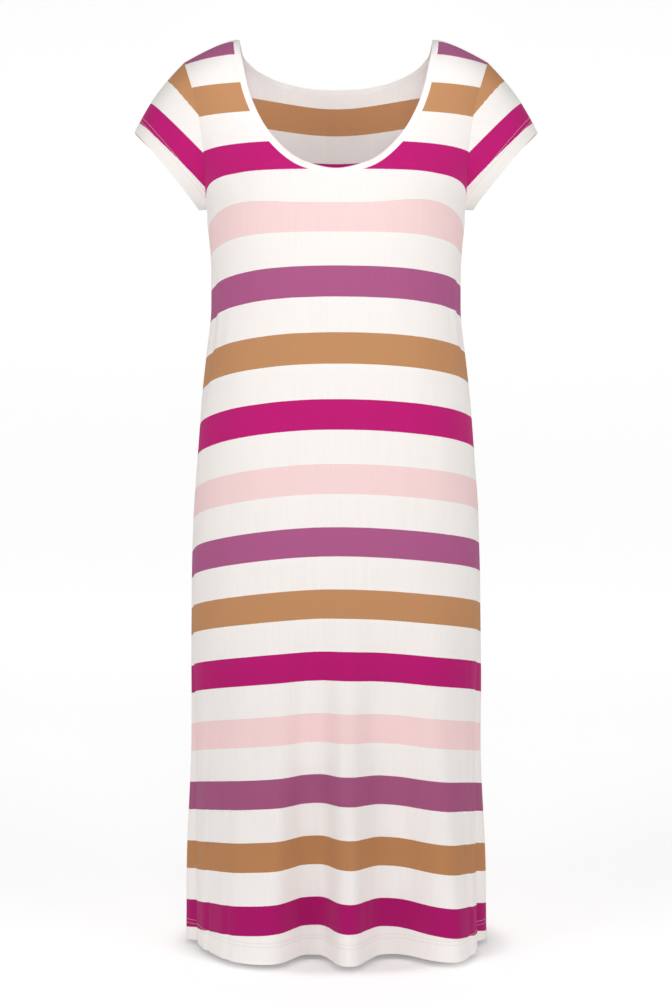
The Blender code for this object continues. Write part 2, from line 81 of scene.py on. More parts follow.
# The body's rings: how deep they are before and behind the middle, and how square, where 2 is an ellipse.
Section = namedtuple("Section", "height half_width front back roundness")
BODY = (
    Section(0.000, 0.222, 0.064, 0.062, 2.6),
    Section(-0.035, 0.215, 0.074, 0.068, 2.6),
    Section(-0.070, 0.206, 0.084, 0.080, 2.6),
    Section(-0.105, 0.196, 0.094, 0.092, 2.6),
    Section(-0.150, 0.184, 0.107, 0.103, 2.6),
    Section(-0.213, 0.1640, 0.128, 0.108, 2.6),
    Section(-0.238, 0.1630, 0.133, 0.107, 2.6),
    Section(-0.262, 0.1604, 0.134, 0.104, 2.6),
    Section(-0.290, 0.1590, 0.132, 0.100, 2.5),
    Section(-0.345, 0.1592, 0.124, 0.092, 2.4),
    Section(-0.400, 0.1645, 0.119, 0.095, 2.4),
    Section(-0.470, 0.1715, 0.119, 0.107, 2.4),
    Section(-0.540, 0.1770, 0.121, 0.118, 2.4),
    Section(-0.610, 0.1815, 0.124, 0.125, 2.4),
    Section(-0.700, 0.1835, 0.126, 0.128, 2.5),
    Section(-0.880, 0.1845, 0.130, 0.127, 2.6),
    Section(-0.960, 0.1870, 0.135, 0.129, 2.6),
    Section(-1.050, 0.1905, 0.141, 0.133, 2.6),
    Section(-1.140, 0.1925, 0.146, 0.137, 2.6),
)
Armhole = namedtuple("Armhole", "height half_width depth")
ARMHOLE = (
    Armhole(-0.0276, 0.1935, 0.045),
    Armhole(-0.0670, 0.1820, 0.052),
    Armhole(-0.1050, 0.1713, 0.059),
    Armhole(-0.1480, 0.1650, 0.062),
    Armhole(-0.1800, 0.1635, 0.062),
    Armhole(-0.2130, 0.1640, 0.062),
)
# The neck's edge, out from the middle and down the cloth from the shoulder's top line.
NeckPoint = namedtuple("NeckPoint", "out down")
NECK_FRONT = (
    NeckPoint(0.1310, 0.000),
    NeckPoint(0.1270, 0.062),
    NeckPoint(0.1177, 0.1167),
    NeckPoint(0.1061, 0.1520),
    NeckPoint(0.0827, 0.1927),
    NeckPoint(0.0412, 0.2280),
    NeckPoint(0.0000, 0.2380),
)

# The flutes the skirt falls in, front and back. Each is a trough at an angle round the body (0 front, 90
# the wearer's left), or a ridge where its depth is below 0. It has a spread towards lower and higher angles
# in degrees, a depth at the hem, the height where it starts and a power that makes its sides steeper.
Flute = namedtuple("Flute", "angle spread_before spread_after depth start steep")
FLUTES = (
    Flute(-166, 9, 11, 0.040, -0.70, 2.0),
    Flute(-134, 10, 8, 0.043, -0.66, 2.2),
    Flute(-103, 8, 8, 0.030, -0.76, 2.0),
    Flute(-75, 5, 6, 0.008, -0.74, 2.0),
    Flute(-62, 15, 12, 0.016, -0.72, 2.4),
    Flute(-11, 13, 10, 0.052, -0.66, 3.0),
    Flute(27, 13, 15, 0.051, -0.66, 3.0),
    Flute(49, 8, 8, -0.012, -0.70, 2.0),
    Flute(74, 6, 7, 0.016, -0.76, 2.0),
    Flute(105, 8, 7, 0.028, -0.78, 2.0),
    Flute(133, 8, 10, 0.042, -0.68, 2.2),
    Flute(168, 10, 8, 0.038, -0.74, 2.0),
)
FLUTE_GROWTH = 1.15          # 1 deepens a flute evenly down to the hem, more leaves it for lower down

# The soft creases that the solid leaves out. Each runs from one angle and height to another, with a spread
# in degrees and a depth, below 0 for a ridge. One that reaches the hem is deepest there, others midway.
Crease = namedtuple("Crease", "angle height to_angle to_height spread depth")
CREASES = (
    Crease(-70, -0.290, -76, -0.470, 3.5, 0.0028),
    Crease(-60, -0.320, -66, -0.430, 3.0, 0.0014),
    Crease(72, -0.275, 77, -0.440, 3.5, 0.0030),
    Crease(62, -0.310, 67, -0.405, 2.8, 0.0013),
    Crease(-52, -0.780, -48, -1.140, 1.8, 0.0020),
    Crease(-28, -0.860, -25, -1.140, 2.6, -0.0020),
    Crease(52, -0.850, 50, -1.140, 3.0, -0.0022),
    Crease(-80, -0.620, -80, -1.140, 2.8, 0.0115),
    Crease(77, -0.620, 77, -1.140, 3.0, 0.0085),
    Crease(59, -0.760, 59, -1.140, 1.3, 0.0022),
    Crease(65, -0.700, 65, -1.140, 1.2, 0.0028),
    Crease(-64, -0.740, -63, -1.140, 1.4, 0.0026),
    Crease(8, -0.720, 8, -1.140, 4.0, -0.0020),
    Crease(-19, -0.800, -18, -1.140, 2.2, 0.0024),
    Crease(-4, -0.840, -3, -1.140, 1.7, 0.0020),
    Crease(13, -0.820, 14, -1.140, 1.8, 0.0022),
    Crease(36, -0.840, 38, -1.140, 2.2, 0.0022),
    Crease(-58, -0.165, -40, -0.232, 3.6, 0.0018),
    Crease(58, -0.165, 42, -0.228, 3.6, 0.0016),
    Crease(-18, -0.270, -14, -0.420, 5.0, 0.0010),
    Crease(22, -0.285, 18, -0.400, 5.0, 0.0009),
    Crease(158, -0.300, 150, -0.410, 5.0, 0.0035),
    Crease(-160, -0.315, -148, -0.425, 5.0, 0.0032),
    Crease(176, -0.360, 170, -0.450, 5.0, 0.0024),
    Crease(118, -0.300, 124, -0.420, 4.0, 0.0024),
    Crease(-116, -0.290, -122, -0.430, 4.0, 0.0026),
    Crease(-118, -0.820, -116, -1.140, 2.4, -0.0022),
    Crease(150, -0.800, 151, -1.140, 3.0, -0.0022),
)
# Faint waves in the slack cloth below the bust, each with its depth, how fast it runs round and down, and
# where it starts.
Wave = namedtuple("Wave", "depth round down start")
SLACK = (Wave(0.0004, 11, 23, 0.0), Wave(0.0003, 19, -31, 1.3))
SLACK_TOP = -0.200
SLACK_FADE = 0.100           # the height over which the waves grow from nothing


def unit(vectors):
    return vectors / np.linalg.norm(vectors, axis=-1, keepdims=True)


def smooth_curve(places, values, at):
    """A smooth curve through the given values, with no overshoot, read at the given places."""
    places = np.asarray(places, float)
    values = np.asarray(values, float)
    if places[0] > places[-1]:
        places = places[::-1]
        values = values[::-1]
    at = np.clip(at, places[0], places[-1])
    steps = np.diff(places)
    rises = np.diff(values) / steps
    slopes = np.zeros(len(places))
    same_way = rises[:-1] * rises[1:] > 0
    both = np.where(same_way, rises[:-1] + rises[1:], 1.0)
    slopes[1:-1] = np.where(same_way, 2 * rises[:-1] * rises[1:] / both, 0.0)
    slopes[0] = rises[0]
    slopes[-1] = rises[-1]
    i = np.clip(np.searchsorted(places, at, side="right") - 1, 0, len(steps) - 1)
    h = steps[i]
    t = (at - places[i]) / h
    return (
        values[i] * (1 + 2 * t) * (1 - t) ** 2
        + slopes[i] * h * t * (1 - t) ** 2
        + values[i + 1] * t * t * (3 - 2 * t)
        + slopes[i + 1] * h * t * t * (t - 1)
    )


def column_of(table, column, at):
    return smooth_curve([r.height for r in table], [getattr(r, column) for r in table], at)


def shoulder_line(x):
    """Height of the shoulder's top line at a distance x from the middle."""
    out = np.clip((np.abs(x) - NECK_POINT) / (SHOULDER_POINT - NECK_POINT), 0, SHOULDER_PAST)
    return -SHOULDER_DROP * out**SHOULDER_CURVE


def armhole_edge(z):
    """Half width and depth of the armhole's edge at a height."""
    half_width = column_of(ARMHOLE, "half_width", z)
    depth = column_of(ARMHOLE, "depth", z)
    below = np.clip((ARMHOLE_TURN - z) / (ARMHOLE_TURN - UNDERARM_HEIGHT), 0, 1)
    return half_width, depth * np.sqrt(1 - below**2)


def ring_sizes(z, back):
    """Half width, depth and roundness of the body's ring at a height."""
    half_width = column_of(BODY, "half_width", z)
    depth = np.where(back, column_of(BODY, "back", z), column_of(BODY, "front", z))
    roundness = column_of(BODY, "roundness", z)
    edge_x, edge_y = armhole_edge(z)
    reached = np.minimum(edge_y / depth, ARMHOLE_REACH)
    through = edge_x / (1 - reached**roundness) ** (1 / roundness)
    return np.where(z > UNDERARM_HEIGHT, through, half_width), depth, roundness


def side_angle(z):
    """Angle of a panel's side edge at a height, along the armhole and then the side seam."""
    edge_x, edge_y = armhole_edge(z)
    return np.where(z > UNDERARM_HEIGHT, np.arctan2(edge_x, edge_y), np.pi / 2)


def spread_to_angle(share, z):
    """Angle of a mesh column at a height, from its share of the way to the panel's edge."""
    edge = side_angle(z)
    start = side_angle(np.array(OPENING_TOP))
    opened = np.clip((OPENING_TOP - z) / (OPENING_TOP - OPENING_BOTTOM), 0, 1)
    even = start + (np.pi / 2 - start) * opened * opened * (3 - 2 * opened)
    even = np.where(z > OPENING_TOP, edge, even)
    return share * (even + (edge - even) * np.abs(share) ** EDGE_HOLD)


def share_at(angle, z):
    """The inverse of spread_to_angle."""
    share = angle / side_angle(z)
    for _ in range(SHARE_ROUNDS):
        share = share * angle / np.where(angle == 0, 1, spread_to_angle(share, z))
    return np.where(angle == 0, 0, share)


def turn_between(angle, degrees):
    """Signed turn from an angle in degrees to an angle, the short way round."""
    return (angle - np.radians(degrees) + np.pi) % (2 * np.pi) - np.pi


def fold_depth(angle, z):
    """How far the flutes and creases pull the cloth in."""
    total = np.zeros(np.broadcast(angle, z).shape)
    for flute in FLUTES:
        turn = turn_between(angle, flute.angle)
        spread = np.radians(np.where(turn < 0, flute.spread_before, flute.spread_after))
        grown = np.clip((flute.start - z) / (flute.start - HEM_HEIGHT), 0, 1) ** FLUTE_GROWTH
        total = total + flute.depth * grown * np.exp(-(np.abs(turn / spread) ** flute.steep))
    for crease in CREASES:
        along = np.clip((crease.height - z) / (crease.height - crease.to_height), 0, 1)
        middle = crease.angle + (crease.to_angle - crease.angle) * along
        turn = turn_between(angle, middle)
        grown = along if crease.to_height == HEM_HEIGHT else np.sin(np.pi * along)
        total = total + crease.depth * grown * np.exp(-((turn / np.radians(crease.spread)) ** 2))
    slack = sum(wave.depth * np.sin(wave.round * angle + wave.down * z + wave.start) for wave in SLACK)
    return total + slack * np.clip((SLACK_TOP - z) / SLACK_FADE, 0, 1)


def roll_of(x, z):
    """How much of the body's depth the cloth has reached, 0 on the shoulder's top line."""
    lean = np.clip(1 - (shoulder_line(x) - z) / SHOULDER_ROLL, 0, 1)
    return np.sqrt(1 - lean**2)


def body_point(angle, z):
    """A point of the cloth's outer face."""
    back = np.abs(angle) > np.pi / 2
    half_width, depth, roundness = ring_sizes(z, back)
    across = np.abs(np.sin(angle)) / half_width
    along = np.abs(np.cos(angle)) / depth
    radius = (across**roundness + along**roundness) ** (-1 / roundness)
    x = radius * np.sin(angle)
    y = -radius * np.cos(angle)
    out_x = np.sign(x) * np.abs(x) ** (roundness - 1) / half_width**roundness
    out_y = np.sign(y) * np.abs(y) ** (roundness - 1) / depth**roundness
    length = np.hypot(out_x, out_y)
    pull = fold_depth(angle, z)
    roll = roll_of(x, z)
    x = x - pull * out_x / length
    y = y - pull * out_y / length
    return np.stack([x, y * roll, z + 0 * x], axis=-1)


def yoke_level(point, back):
    """A field that is 1 on the yoke's outer face, less inside it and more outside."""
    x, y, z = np.moveaxis(point, -1, 0)
    half_width, depth, roundness = ring_sizes(z, back)
    roll = np.maximum(roll_of(x, z), LEAST_ROLL)
    return (np.abs(x) / half_width) ** roundness + (np.abs(y) / (depth * roll)) ** roundness


def yoke_normal(point, back):
    """Unit normals of the yoke, from the slope of the field that is level on it."""
    slopes = []
    for axis in np.eye(3) * SLOPE_STEP:
        slopes.append(yoke_level(point + axis, back) - yoke_level(point - axis, back))
    return unit(np.stack(slopes, axis=-1))


def ridge_normal(x):
    """Unit normals on the shoulder's top line."""
    fall = (shoulder_line(x + SLOPE_STEP) - shoulder_line(x - SLOPE_STEP)) / (2 * SLOPE_STEP)
    return unit(np.stack([-fall, 0 * fall, 1 + 0 * fall], axis=-1))


def drop_at(down):
    """How far the cloth has dropped at a distance down it from the shoulder's top line."""
    turn = np.clip(down / ROLL_LENGTH, 0, 1) * np.pi / 2
    return SHOULDER_ROLL * (1 - np.cos(turn)) + np.maximum(down - ROLL_LENGTH, 0)


def down_at(drop):
    """The inverse of drop_at."""
    turn = np.arccos(np.clip(1 - np.clip(drop, 0, None) / SHOULDER_ROLL, 0, 1))
    return turn / (np.pi / 2) * ROLL_LENGTH + np.maximum(drop - SHOULDER_ROLL, 0)


def ring_depth(x, z, back):
    """How far before or behind the middle a height's ring is at x."""
    half_width, depth, roundness = ring_sizes(z, back)
    return depth * (1 - np.minimum(np.abs(x) / half_width, 1) ** roundness) ** (1 / roundness)


def yoke_point(x, signed):
    """A point of the yoke from x and its distance down the cloth, negative in front."""
    z = shoulder_line(x) - drop_at(np.abs(signed))
    y = ring_depth(x, z, signed > 0) * roll_of(x, z)
    return np.stack([x, np.sign(signed) * y, z + 0 * x], axis=-1)


def top_edge(neck, steepness):
    """x and distance down of a panel's top edge, from one armhole to the other."""
    half_out = np.linspace(SHOULDER_POINT, NECK_POINT, COLUMNS_SHOULDER + 1)[:-1]
    out = [point.out for point in neck] + [-neck[-2].out]
    down = [point.down for point in neck] + [neck[-2].down]
    along = np.concatenate([[0], np.cumsum(np.hypot(np.diff(out), np.diff(down)))])
    fine = np.linspace(0, along[-2], NECK_SAMPLES)
    fine_out = smooth_curve(along, out, fine)
    fine_down = smooth_curve(along, down, fine)
    weight = np.hypot(np.diff(fine_out), steepness * np.diff(fine_down))
    weighed = np.concatenate([[0], np.cumsum(weight)])
    read = np.linspace(0, weighed[-1], COLUMNS_NECK + 1)
    x = np.concatenate([half_out, np.interp(read, weighed, fine_out)])
    down = np.concatenate([0 * half_out, np.interp(read, weighed, fine_down)])
    return np.concatenate([-x, x[-2::-1]]), np.concatenate([down, down[-2::-1]])


def panel_places(neck, steepness, back):
    """The angle and height of a panel's mesh points, row by row from the top edge to the hem."""
    x_top, down_top = top_edge(neck, steepness)
    ridge = shoulder_line(x_top)
    z_top = ridge - drop_at(down_top)
    share_top = share_at(np.arctan2(np.abs(x_top), ring_depth(x_top, z_top, back)), z_top)
    middle = COLUMNS_SHOULDER + COLUMNS_NECK
    column = np.arange(2 * middle + 1)
    from_edge = np.minimum(column, 2 * middle - column)
    side = np.sign(column - middle)
    neck_down = down_top[COLUMNS_SHOULDER:middle + 1]
    even_down = np.linspace(0, neck_down[-1], COLUMNS_NECK + 1)
    neck_down = neck_down + (even_down - neck_down) * (BACK_FAN if back else 0)
    neck_share = share_top[COLUMNS_SHOULDER:middle + 1]
    across = 1 - from_edge / middle
    yoke_end = UNDERARM_HEIGHT - YOKE_SAG * (1 - across**2)
    down_end = ROLL_LENGTH + ridge - SHOULDER_ROLL - yoke_end
    shares = []
    heights = []
    for i in range(ROWS_YOKE + 1):
        step = i / ROWS_YOKE
        down = down_top + (down_end - down_top) * (1 - (1 - step) ** ROW_EASE)
        started = np.interp(down, neck_down, np.arange(COLUMNS_NECK + 1))
        inner = np.interp(down, neck_down, neck_share)
        share = 1 - (1 - inner) * from_edge / (COLUMNS_SHOULDER + started)
        if i == 0:
            astray = share_top - share
        shares.append(share + astray * (1 - step) ** 2)
        heights.append(ridge - drop_at(down))
    for i in range(1, ROWS_CHEST + 1):
        shares.append(across)
        heights.append(yoke_end + (CHEST_HEIGHT - yoke_end) * i / ROWS_CHEST)
    for i in range(1, ROWS_BODY + 1):
        shares.append(across)
        heights.append(CHEST_HEIGHT + (HEM_HEIGHT - CHEST_HEIGHT) * i / ROWS_BODY + 0 * across)
    z = np.array(heights)
    angle = spread_to_angle(np.array(shares), z)
    angle = (np.pi - angle if back else angle) * np.where(side == 0, 1, side)
    settle = np.clip(1 - np.arange(len(z)) / ROWS_YOKE, 0, 1)[:, None] ** 2
    own_ridge = shoulder_line(body_point(angle, z)[..., 0])
    return angle, z + (own_ridge - ridge) * settle


# Stripes: one repeat is pink, purple, camel and magenta, each with an off-white band after it. A stripe's
# place is its count down the cloth, 0 at the top of the first pink one under the neck.
STRIPE_PITCH = 0.0761
FIRST_PINK = 0.2738          # its top edge, down the cloth from the shoulder's top line
STRIPE_SHARE = 0.462         # the coloured part of the pitch
# How far down the cloth's hang has drawn the stripes from an even pitch.
Stretch = namedtuple("Stretch", "down shift")
STRETCH = (
    Stretch(0.000, -0.0085),
    Stretch(0.113, -0.0062),
    Stretch(0.150, -0.0035),
    Stretch(0.196, -0.0038),
    Stretch(0.274, 0.0000),
    Stretch(0.350, -0.0006),
    Stretch(0.430, 0.0022),
    Stretch(0.510, 0.0066),
    Stretch(0.620, 0.0090),
    Stretch(0.740, 0.0072),
    Stretch(0.890, 0.0047),
    Stretch(1.040, 0.0024),
    Stretch(1.200, 0.0000),
)
# How much lower the rows of the cloth hang at the side seams than at the centre, on the wearer's right and
# left, and how late on the way out that starts.
Sag = namedtuple("Sag", "height right left late")
SAG = (
    Sag(0.000, 0.000, 0.000, 6.0),
    Sag(-0.070, 0.000, 0.000, 6.0),
    Sag(-0.109, 0.003, 0.003, 6.0),
    Sag(-0.150, 0.018, 0.018, 6.0),
    Sag(-0.230, 0.046, 0.042, 5.5),
    Sag(-0.262, 0.034, 0.028, 4.0),
    Sag(-0.300, 0.026, 0.016, 2.7),
    Sag(-0.450, 0.030, 0.022, 2.3),
    Sag(-0.580, 0.038, 0.025, 2.2),
    Sag(-0.750, 0.033, 0.028, 2.0),
    Sag(-0.950, 0.028, 0.030, 2.0),
    Sag(-1.140, 0.026, 0.032, 2.0),
)
LATE_ROWS = 3                # rows that start to fall later than this
SAG_REACH = 0.87             # stop at this share of the way to the side seam
SHOULDER_FOLLOW = 0.25       # how far the rows follow the slope of the shoulder
SHOULDER_FADE = 0.090        # the height over which they stop following it
BUST_RISE = (0.0055, 0.0085)      # how much higher they ride over the bust, on the wearer's right and left
BUST_PLACE = (0.52, -0.224)       # its middle, as a share of the way to the side seam, and its height
BUST_SPREAD = (0.21, 0.026)       # its reach from there, in the same two measures
BACK_LIFT = 0.0165           # how much higher the stripes sit at the centre back
BACK_LIFT_TOP = -0.035       # the height where that starts
BACK_LIFT_FADE = 0.110       # and the height over which it grows
BACK_YOKE_RISE = 0.034       # how much they rise towards the back armholes
BACK_YOKE_LOW = -0.240       # the height where that starts
BACK_YOKE_FADE = 0.100       # and the height over which it grows


def stripe_count(angle, z, x, back):
    """The count of stripes down the cloth at a place."""
    turn = np.pi - np.abs(angle) if back else np.abs(angle)
    out = np.clip(turn / (np.pi / 2), 0, 1)
    late = column_of(SAG, "late", z)
    sag = np.where(angle < 0, column_of(SAG, "right", z), column_of(SAG, "left", z))
    place = z + sag * np.minimum(out, np.where(late > LATE_ROWS, SAG_REACH, 1)) ** late
    if back:
        yoke = np.clip((z - BACK_YOKE_LOW) / BACK_YOKE_FADE, 0, 1)
        lifted = np.clip((BACK_LIFT_TOP - z) / BACK_LIFT_FADE, 0, 1) * (1 - out**2 * (1 - yoke))
        place = place - BACK_LIFT * lifted - BACK_YOKE_RISE * out**2 * yoke
    else:
        off = ((out - BUST_PLACE[0]) / BUST_SPREAD[0]) ** 2 + ((z - BUST_PLACE[1]) / BUST_SPREAD[1]) ** 2
        place = place - np.where(angle < 0, *BUST_RISE) * np.exp(-off)
    slope = SHOULDER_FOLLOW * shoulder_line(x) * np.clip(1 + z / SHOULDER_FADE, 0, 1)
    down = down_at(slope - place)
    shift = smooth_curve([s.down for s in STRETCH], [s.shift for s in STRETCH], down)
    return (down - shift - FIRST_PINK) / STRIPE_PITCH


def add_object(name, data):
    made = bpy.data.objects.new(name, data)
    bpy.context.scene.collection.objects.link(made)
    return made


# A wall of cloth: its two faces, the outer face's normals, its stripe counts and its distance from the hem.
Wall = namedtuple("Wall", "outer inner normals stripes from_hem")


def facing_out(points):
    """Unit normals of a grid of points."""
    along = np.gradient(points, axis=1)
    down = np.gradient(points, axis=0)
    return unit(np.cross(down, along))


def panel_wall(neck, steepness, back):
    angle, z = panel_places(neck, steepness, back)
    outer = body_point(angle, z)
    normals = facing_out(outer) * (-1 if back else 1)
    normals[:ROWS_YOKE] = yoke_normal(outer[:ROWS_YOKE], back)
    count = outer.shape[1]
    seam = np.r_[0:COLUMNS_SHOULDER + 1, count - COLUMNS_SHOULDER - 1:count]
    normals[0, seam] = ridge_normal(outer[0, seam, 0])
    outer[0, seam, 1] += SEAM_GAP / 2 if back else -SEAM_GAP / 2
    # Below the armholes the edges stop short of the side seams.
    for column, inside in ((0, 1), (-1, -2)):
        step = unit(outer[ROWS_YOKE:, inside] - outer[ROWS_YOKE:, column])
        outer[ROWS_YOKE:, column] += step * SEAM_GAP / 2
    stripes = stripe_count(angle, z, outer[..., 0], back)
    return Wall(outer, outer - normals * THICKNESS, normals, stripes, z - HEM_HEIGHT)


def cloth_body(name, wall, material, tube=False):
    """A flat piece or a tube of thin cloth that carries its stripe counts and a map of itself in metres."""
    outer = wall.outer
    rows, columns = outer.shape[:2]
    size = rows * columns
    verts = np.concatenate([outer.reshape(-1, 3), wall.inner.reshape(-1, 3)])
    last = columns if tube else columns - 1
    i, j = np.meshgrid(np.arange(rows - 1), np.arange(last), indexing="ij")
    k = (j + 1) % columns
    a, b, c, d = i * columns + j, (i + 1) * columns + j, (i + 1) * columns + k, i * columns + k
    faces = [np.stack([a, b, c, d], -1).reshape(-1, 4), np.stack([d, c, b, a], -1).reshape(-1, 4) + size]
    j = np.arange(last)
    k = (j + 1) % columns
    top = np.stack([j, k, k + size, j + size], -1)
    low = (rows - 1) * columns
    faces += [top, np.stack([j + low + size, k + low + size, k + low, j + low], -1)]
    if not tube:
        i = np.arange(rows - 1) * columns
        faces.append(np.stack([i + size, i + columns + size, i + columns, i], -1))
        i = i + columns - 1
        faces.append(np.stack([i, i + columns, i + columns + size, i + size], -1))
    faces = np.concatenate(faces)
    mesh = bpy.data.meshes.new(name)
    mesh.from_pydata(verts.tolist(), [], faces.tolist())
    steps = np.linalg.norm(np.diff(outer, axis=1), axis=-1)
    around = np.concatenate([np.zeros((rows, 1)), np.cumsum(steps, axis=1)], axis=1)
    around = around - around[:, columns // 2][:, None]
    for label, values in (("stripe", wall.stripes), ("from_hem", wall.from_hem), ("around", around)):
        layer = mesh.attributes.new(label, "FLOAT", "POINT")
        layer.data.foreach_set("value", np.tile(np.broadcast_to(values, (rows, columns)).reshape(-1), 2))
    mesh.materials.append(material)
    mesh.shade_smooth()
    mesh.update()
    bm = bmesh.new()
    bm.from_mesh(mesh)
    bmesh.ops.recalc_face_normals(bm, faces=bm.faces)
    bm.to_mesh(mesh)
    bm.free()
    mesh.set_sharp_from_angle(angle=np.radians(SMOOTH_BELOW))
    return add_object(name, mesh)


# The dyes' colours, and copies for the skirt's lowest stripes with the dark ones deeper: painted shade
# there.
Dye = namedtuple("Dye", "above at_hem")
PINK = Dye((0.885, 0.650, 0.645), (0.920, 0.655, 0.655))
PURPLE = Dye((0.405, 0.098, 0.240), (0.360, 0.090, 0.202))
CAMEL = Dye((0.525, 0.258, 0.118), (0.478, 0.220, 0.092))
MAGENTA = Dye((0.500, 0.009, 0.165), (0.385, 0.005, 0.128))
DYES = (PINK, PURPLE, CAMEL, MAGENTA)
OFF_WHITE = Dye((0.900, 0.860, 0.830), (0.900, 0.862, 0.838))
BINDING_WHITE = (0.925, 0.890, 0.870)
PAINTED_SHADE_FULL_BELOW = 0.12         # up from the hem, where the painted shade is full
PAINTED_SHADE_FROM_BELOW = 0.50          # and where it starts
JERSEY_ROUGHNESS = 0.88
JERSEY_SHEEN = 0.05
SHEEN_ROUGHNESS = 0.5
JERSEY_SPECULAR = 0.15
HEATHER = 900.0              # how fine the yarn's mottling is
STREAKS = (420.0, 14.0, 1.0)  # the same for the faint streaks along the wales, round and down
STRIPE_FUZZ = 0.012          # how far the mottling moves a stripe's edge, as a share of the pitch
LEAST_SHADE = 0.94           # the cloth's lightness, with what the streaks and the mottling add to it
STREAK_SHADE = 0.07
HEATHER_SHADE = 0.05
WALE = 0.0011                # one wale of the knit
COURSE = 0.0009              # one course of the knit
COURSE_LEAN = 0.5            # how far a course leans beside a wale, as a share of itself
WALE_DEPTH = 0.6             # the knit's relief, in shares of its depth
COURSE_DEPTH = 0.4
FUZZ_DEPTH = 1.5
KNIT_DEPTH = 0.0002
KNIT_STRENGTH = 0.36
HEM_TURN = 0.025             # the cloth turned up at the skirt's hem
NEEDLE_GAP = 0.0045          # between the hem's two rows of stitching
NEEDLE_SHADE_REACH = 0.0010       # how far to each side of a row the painted shade of its groove reaches
NEEDLE_PAINTED_SHADE = 0.90          # how dark that painted shade is


class Finish:
    """A new material, with short ways to add its nodes and to join them."""

    def __init__(self, name, roughness):
        self.material = bpy.data.materials.new(name)
        self.material.use_nodes = True
        self.tree = self.material.node_tree
        self.shader = self.tree.nodes["Principled BSDF"]
        self.shader.inputs["Roughness"].default_value = roughness

    def node(self, kind, **settings):
        made = self.tree.nodes.new(kind)
        for key, value in settings.items():
            setattr(made, key, value)
        return made

    def link(self, source, target):
        self.tree.links.new(source, target)

    def attribute(self, name):
        return self.node("ShaderNodeAttribute", attribute_name=name).outputs["Fac"]

    def noise(self, scale, detail=2.0, place=None):
        made = self.node("ShaderNodeTexNoise")
        made.inputs["Scale"].default_value = scale
        made.inputs["Detail"].default_value = detail
        if place:
            self.link(place, made.inputs["Vector"])
        return made.outputs["Fac"]

    def maths(self, operation, *values):
        made = self.node("ShaderNodeMath", operation=operation)
        for socket, value in zip(made.inputs, values):
            if isinstance(value, (int, float)):
                socket.default_value = value
            else:
                self.link(value, socket)
        return made.outputs[0]

    def fade(self, value, start, end, low, high):
        """A soft step from low to high while the value goes from start to end."""
        made = self.node("ShaderNodeMapRange", interpolation_type="SMOOTHSTEP")
        self.link(value, made.inputs["Value"])
        for socket, number in (("From Min", start), ("From Max", end), ("To Min", low), ("To Max", high)):
            made.inputs[socket].default_value = number
        return made.outputs["Result"]


def stripe_colours(finish, turn, place):
    """The four dyes and the off-white between them, over one repeat of the stripes."""
    ramp = finish.node("ShaderNodeValToRGB")
    ramp.color_ramp.interpolation = "CONSTANT"
    finish.link(finish.maths("DIVIDE", turn, len(DYES)), ramp.inputs["Fac"])
    stops = ramp.color_ramp.elements
    stops.remove(stops[1])
    for i, dye in enumerate(DYES):
        for start, shade in ((i, dye), (i + STRIPE_SHARE, OFF_WHITE)):
            stop = stops.new(start / len(DYES)) if start else stops[0]
            stop.color = (*getattr(shade, place), 1)
    return ramp.outputs["Color"]


